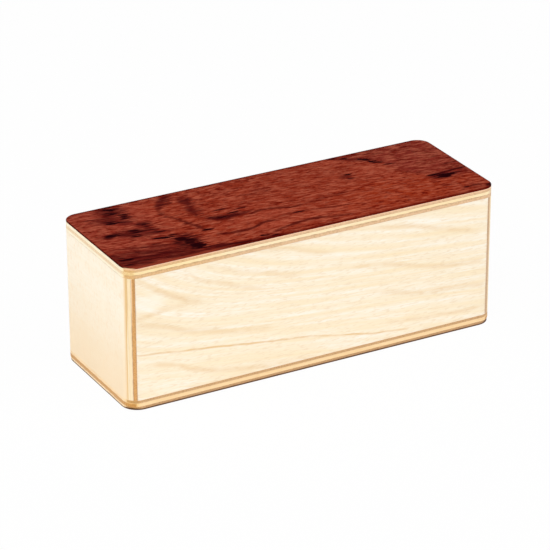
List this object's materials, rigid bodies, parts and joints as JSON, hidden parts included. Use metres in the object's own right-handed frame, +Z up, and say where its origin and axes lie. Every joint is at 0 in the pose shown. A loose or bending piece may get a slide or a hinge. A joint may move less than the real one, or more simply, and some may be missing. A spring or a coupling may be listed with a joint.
{
  "type": "wooden shaker",
  "caption": "Closed hand shaker: a glued plywood box with rounded upright corners, a rosewood top, pale flush panels and loose steel shot inside.",
  "frame": {"origin": "middle of the underside, where the box rests", "axes": "+X along the box to the right seen from the front, -Y out of the front panel, +Z up through the rosewood top"},
  "size_m": [0.16, 0.0554, 0.0582],
  "materials": {
    "rosewood": "satin lacquer over dark figured rosewood",
    "birch_board": "clear satin, layered sanded edges",
    "birch_end": "clear satin, pale face and layered sanded edges",
    "birch_panel": "clear satin, pale face with faint long grain",
    "steel": "bright shot, lightly scuffed by tumbling"
  },
  "bodies": {
    "box": {"top_rosewood_veneer": "rosewood", "top_upper_ply": "birch_board", "top_core_ply": "birch_board", "top_lower_ply": "birch_board", "bottom_upper_ply": "birch_board", "bottom_core_ply": "birch_board", "bottom_lower_ply": "birch_board", "left_end_outer_ply": "birch_end", "left_end_core_ply": "birch_end", "left_end_inner_ply": "birch_end", "right_end_outer_ply": "birch_end", "right_end_core_ply": "birch_end", "right_end_inner_ply": "birch_end", "front_panel_face_ply": "birch_panel", "front_panel_core_ply": "birch_panel", "front_panel_inner_ply": "birch_panel", "back_panel_face_ply": "birch_panel", "back_panel_core_ply": "birch_panel", "back_panel_inner_ply": "birch_panel"},
    "shot_01": {"steel_shot_01": "steel"},
    "shot_02": {"steel_shot_02": "steel"},
    "shot_03": {"steel_shot_03": "steel"},
    "shot_04": {"steel_shot_04": "steel"},
    "shot_05": {"steel_shot_05": "steel"},
    "shot_06": {"steel_shot_06": "steel"},
    "shot_07": {"steel_shot_07": "steel"},
    "shot_08": {"steel_shot_08": "steel"},
    "shot_09": {"steel_shot_09": "steel"},
    "shot_10": {"steel_shot_10": "steel"},
    "shot_11": {"steel_shot_11": "steel"},
    "shot_12": {"steel_shot_12": "steel"},
    "shot_13": {"steel_shot_13": "steel"},
    "shot_14": {"steel_shot_14": "steel"},
    "shot_15": {"steel_shot_15": "steel"},
    "shot_16": {"steel_shot_16": "steel"},
    "shot_17": {"steel_shot_17": "steel"},
    "shot_18": {"steel_shot_18": "steel"},
    "shot_19": {"steel_shot_19": "steel"},
    "shot_20": {"steel_shot_20": "steel"},
    "shot_21": {"steel_shot_21": "steel"},
    "shot_22": {"steel_shot_22": "steel"},
    "shot_23": {"steel_shot_23": "steel"},
    "shot_24": {"steel_shot_24": "steel"},
    "shot_25": {"steel_shot_25": "steel"},
    "shot_26": {"steel_shot_26": "steel"},
    "shot_27": {"steel_shot_27": "steel"},
    "shot_28": {"steel_shot_28": "steel"}
  },
  "joints": [
    {"name": "shot_01_sweep", "type": "slide", "parent": "box", "child": "shot_01", "axis": [0, 1, 0], "range_m": [0, 0.0447]},
    {"name": "shot_02_hop", "type": "slide", "parent": "box", "child": "shot_02", "axis": [0, 0, 1], "range_m": [0, 0.0454]},
    {"name": "shot_03_sweep", "type": "slide", "parent": "box", "child": "shot_03", "axis": [0, 1, 0], "range_m": [-0.01055, 0.03415]},
    {"name": "shot_04_hop", "type": "slide", "parent": "box", "child": "shot_04", "axis": [0, 0, 1], "range_m": [0, 0.0454]},
    {"name": "shot_05_sweep", "type": "slide", "parent": "box", "child": "shot_05", "axis": [0, 1, 0], "range_m": [-0.0211, 0.0236]},
    {"name": "shot_06_hop", "type": "slide", "parent": "box", "child": "shot_06", "axis": [0, 0, 1], "range_m": [0, 0.0454]},
    {"name": "shot_07_sweep", "type": "slide", "parent": "box", "child": "shot_07", "axis": [0, 1, 0], "range_m": [-0.03166, 0.01304]},
    {"name": "shot_08_hop", "type": "slide", "parent": "box", "child": "shot_08", "axis": [0, 0, 1], "range_m": [0, 0.0454]},
    {"name": "shot_09_sweep", "type": "slide", "parent": "box", "child": "shot_09", "axis": [0, 1, 0], "range_m": [-0.04221, 0.00249]},
    {"name": "shot_10_hop", "type": "slide", "parent": "box", "child": "shot_10", "axis": [0, 0, 1], "range_m": [0, 0.0454]},
    {"name": "shot_11_sweep", "type": "slide", "parent": "box", "child": "shot_11", "axis": [0, 1, 0], "range_m": [-0.00806, 0.03664]},
    {"name": "shot_12_hop", "type": "slide", "parent": "box", "child": "shot_12", "axis": [0, 0, 1], "range_m": [0, 0.0454]},
    {"name": "shot_13_sweep", "type": "slide", "parent": "box", "child": "shot_13", "axis": [0, 1, 0], "range_m": [-0.01861, 0.02609]},
    {"name": "shot_14_hop", "type": "slide", "parent": "box", "child": "shot_14", "axis": [0, 0, 1], "range_m": [0, 0.0454]},
    {"name": "shot_15_sweep", "type": "slide", "parent": "box", "child": "shot_15", "axis": [0, 1, 0], "range_m": [-0.02917, 0.01553]},
    {"name": "shot_16_hop", "type": "slide", "parent": "box", "child": "shot_16", "axis": [0, 0, 1], "range_m": [0, 0.0454]},
    {"name": "shot_17_sweep", "type": "slide", "parent": "box", "child": "shot_17", "axis": [0, 1, 0], "range_m": [-0.03972, 0.00498]},
    {"name": "shot_18_hop", "type": "slide", "parent": "box", "child": "shot_18", "axis": [0, 0, 1], "range_m": [0, 0.0454]},
    {"name": "shot_19_sweep", "type": "slide", "parent": "box", "child": "shot_19", "axis": [0, 1, 0], "range_m": [-0.00557, 0.03913]},
    {"name": "shot_20_hop", "type": "slide", "parent": "box", "child": "shot_20", "axis": [0, 0, 1], "range_m": [0, 0.0454]},
    {"name": "shot_21_sweep", "type": "slide", "parent": "box", "child": "shot_21", "axis": [0, 1, 0], "range_m": [-0.01612, 0.02858]},
    {"name": "shot_22_hop", "type": "slide", "parent": "box", "child": "shot_22", "axis": [0, 0, 1], "range_m": [0, 0.0454]},
    {"name": "shot_23_sweep", "type": "slide", "parent": "box", "child": "shot_23", "axis": [0, 1, 0], "range_m": [-0.02667, 0.01803]},
    {"name": "shot_24_hop", "type": "slide", "parent": "box", "child": "shot_24", "axis": [0, 0, 1], "range_m": [0, 0.0454]},
    {"name": "shot_25_sweep", "type": "slide", "parent": "box", "child": "shot_25", "axis": [0, 1, 0], "range_m": [-0.03723, 0.00747]},
    {"name": "shot_26_hop", "type": "slide", "parent": "box", "child": "shot_26", "axis": [0, 0, 1], "range_m": [0, 0.0454]},
    {"name": "shot_27_sweep", "type": "slide", "parent": "box", "child": "shot_27", "axis": [0, 1, 0], "range_m": [-0.00308, 0.04162]},
    {"name": "shot_28_hop", "type": "slide", "parent": "box", "child": "shot_28", "axis": [0, 0, 1], "range_m": [0, 0.0454]}
  ]
}
